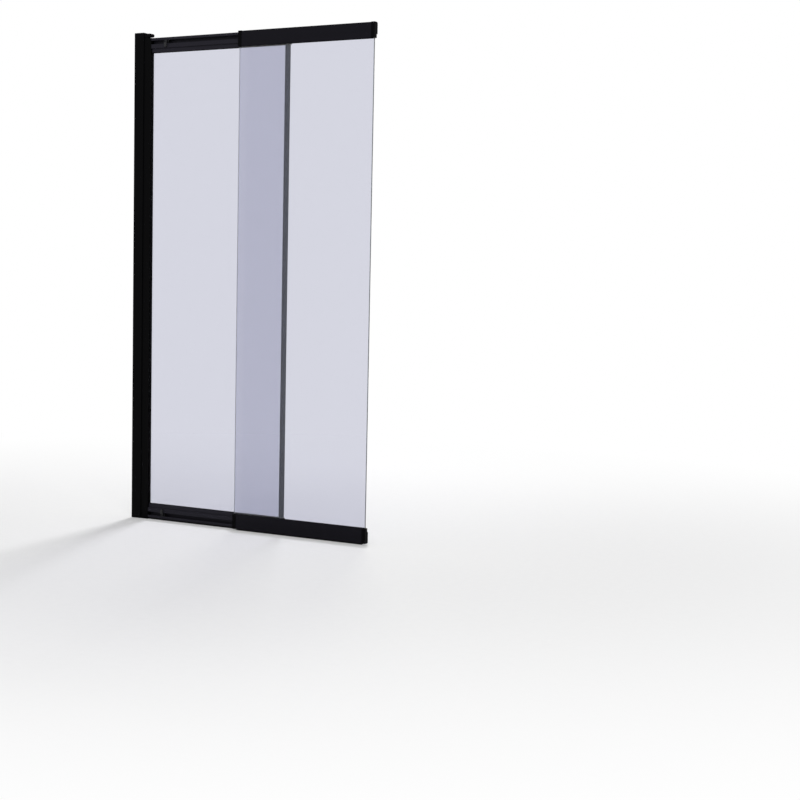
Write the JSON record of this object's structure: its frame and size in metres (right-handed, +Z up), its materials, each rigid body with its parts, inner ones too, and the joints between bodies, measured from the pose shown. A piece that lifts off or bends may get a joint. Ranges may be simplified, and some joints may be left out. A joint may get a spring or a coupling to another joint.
{
  "type": "sliding bath screen",
  "caption": "Black-framed glass bath screen: a fixed panel on a telescoping wall channel and a panel that rolls out along slotted rails on tandem rollers.",
  "frame": {"origin": "foot of the wall channel's back face, on the bath rim, in line with the middle of the fixed glass", "axes": "+X from the wall to the free end, +Y from the room into the bath, +Z up"},
  "size_m": [0.8, 0.0388, 1.4],
  "materials": {
    "black_aluminium": "satin black powder coat",
    "clear_glass": "clear toughened glass, ground edges",
    "black_plastic": "fine moulded grain",
    "black_rubber": "matt extruded",
    "grey_rubber": "smooth moulded",
    "roller_nylon": "turned nylon",
    "carriage_plastic": "moulded acetal",
    "screw_steel": "bright turned",
    "black_screw_steel": "black zinc"
  },
  "bodies": {
    "wall_channel": {"wall_channel": "black_aluminium", "wall_channel_cap": "black_plastic"},
    "fixed_panel": {"side_profile": "black_aluminium", "side_profile_cap": "black_plastic", "side_gasket": "black_rubber", "rail_screws": "screw_steel", "adjusting_screws": "screw_steel", "adjusting_screw_covers": "black_plastic", "fixed_glass": "clear_glass", "panel_seal": "black_rubber", "rim_seal": "black_rubber", "fixed_top_end_cap": "black_plastic", "fixed_bottom_end_cap": "black_plastic", "top_stop_bumper": "grey_rubber", "bottom_stop_bumper": "grey_rubber", "stop_plates": "black_screw_steel", "stop_screws": "black_screw_steel", "fixed_top_rail": "black_aluminium", "fixed_bottom_rail": "black_aluminium", "fixed_top_gasket": "black_rubber", "fixed_bottom_gasket": "black_rubber", "fixed_top_carriage": "carriage_plastic", "fixed_bottom_carriage": "carriage_plastic", "fixed_axles": "screw_steel", "fixed_axle_clips": "screw_steel", "fixed_carriage_screws": "black_screw_steel", "fixed_buffers": "black_rubber"},
    "sliding_panel": {"sliding_glass": "clear_glass", "wiper_seal": "black_rubber", "sliding_top_left_end_cap": "black_plastic", "sliding_top_right_end_cap": "black_plastic", "sliding_bottom_left_end_cap": "black_plastic", "sliding_bottom_right_end_cap": "black_plastic", "sliding_top_rail": "black_aluminium", "sliding_bottom_rail": "black_aluminium", "sliding_top_gasket": "black_rubber", "sliding_bottom_gasket": "black_rubber", "sliding_top_carriage": "carriage_plastic", "sliding_bottom_carriage": "carriage_plastic", "sliding_axles": "screw_steel", "sliding_axle_clips": "screw_steel", "sliding_carriage_screws": "black_screw_steel", "sliding_buffers": "black_rubber"},
    "fixed_top_outer_roller": {"fixed_top_outer_roller": "roller_nylon"},
    "fixed_top_inner_roller": {"fixed_top_inner_roller": "roller_nylon"},
    "fixed_bottom_outer_roller": {"fixed_bottom_outer_roller": "roller_nylon"},
    "fixed_bottom_inner_roller": {"fixed_bottom_inner_roller": "roller_nylon"},
    "sliding_top_outer_roller": {"sliding_top_outer_roller": "roller_nylon"},
    "sliding_top_inner_roller": {"sliding_top_inner_roller": "roller_nylon"},
    "sliding_bottom_outer_roller": {"sliding_bottom_outer_roller": "roller_nylon"},
    "sliding_bottom_inner_roller": {"sliding_bottom_inner_roller": "roller_nylon"}
  },
  "joints": [
    {"name": "wall_adjust", "type": "slide", "parent": "wall_channel", "child": "fixed_panel", "axis": [1, 0, 0], "range_m": [-0.0075, 0.0075]},
    {"name": "panel_slide", "type": "slide", "parent": "fixed_panel", "child": "sliding_panel", "axis": [1, 0, 0], "range_m": [-0.2541, 0]},
    {"name": "fixed_top_outer_roller_turn", "type": "hinge", "parent": "fixed_panel", "child": "fixed_top_outer_roller", "pos_m": [0.5015, -0.019, 1.371], "axis": [0, 1, 0], "continuous": true},
    {"name": "fixed_top_inner_roller_turn", "type": "hinge", "parent": "fixed_panel", "child": "fixed_top_inner_roller", "pos_m": [0.46, -0.019, 1.371], "axis": [0, 1, 0], "continuous": true},
    {"name": "fixed_bottom_outer_roller_turn", "type": "hinge", "parent": "fixed_panel", "child": "fixed_bottom_outer_roller", "pos_m": [0.5015, -0.019, 0.017], "axis": [0, 1, 0], "continuous": true},
    {"name": "fixed_bottom_inner_roller_turn", "type": "hinge", "parent": "fixed_panel", "child": "fixed_bottom_inner_roller", "pos_m": [0.46, -0.019, 0.017], "axis": [0, 1, 0], "continuous": true},
    {"name": "sliding_top_outer_roller_turn", "type": "hinge", "parent": "sliding_panel", "child": "sliding_top_outer_roller", "pos_m": [0.3915, -0.002, 1.371], "axis": [0, 1, 0], "continuous": true},
    {"name": "sliding_top_inner_roller_turn", "type": "hinge", "parent": "sliding_panel", "child": "sliding_top_inner_roller", "pos_m": [0.433, -0.002, 1.371], "axis": [0, 1, 0], "continuous": true},
    {"name": "sliding_bottom_outer_roller_turn", "type": "hinge", "parent": "sliding_panel", "child": "sliding_bottom_outer_roller", "pos_m": [0.3915, -0.002, 0.017], "axis": [0, 1, 0], "continuous": true},
    {"name": "sliding_bottom_inner_roller_turn", "type": "hinge", "parent": "sliding_panel", "child": "sliding_bottom_inner_roller", "pos_m": [0.433, -0.002, 0.017], "axis": [0, 1, 0], "continuous": true}
  ],
  "couplings": [
    {"joint": "fixed_top_outer_roller_turn", "follows": "panel_slide", "rad_per_m": 90.909},
    {"joint": "fixed_top_inner_roller_turn", "follows": "panel_slide", "rad_per_m": 90.909},
    {"joint": "fixed_bottom_outer_roller_turn", "follows": "panel_slide", "rad_per_m": 90.909},
    {"joint": "fixed_bottom_inner_roller_turn", "follows": "panel_slide", "rad_per_m": 90.909},
    {"joint": "sliding_top_outer_roller_turn", "follows": "panel_slide", "rad_per_m": 90.909},
    {"joint": "sliding_top_inner_roller_turn", "follows": "panel_slide", "rad_per_m": 90.909},
    {"joint": "sliding_bottom_outer_roller_turn", "follows": "panel_slide", "rad_per_m": 90.909},
    {"joint": "sliding_bottom_inner_roller_turn", "follows": "panel_slide", "rad_per_m": 90.909}
  ]
}
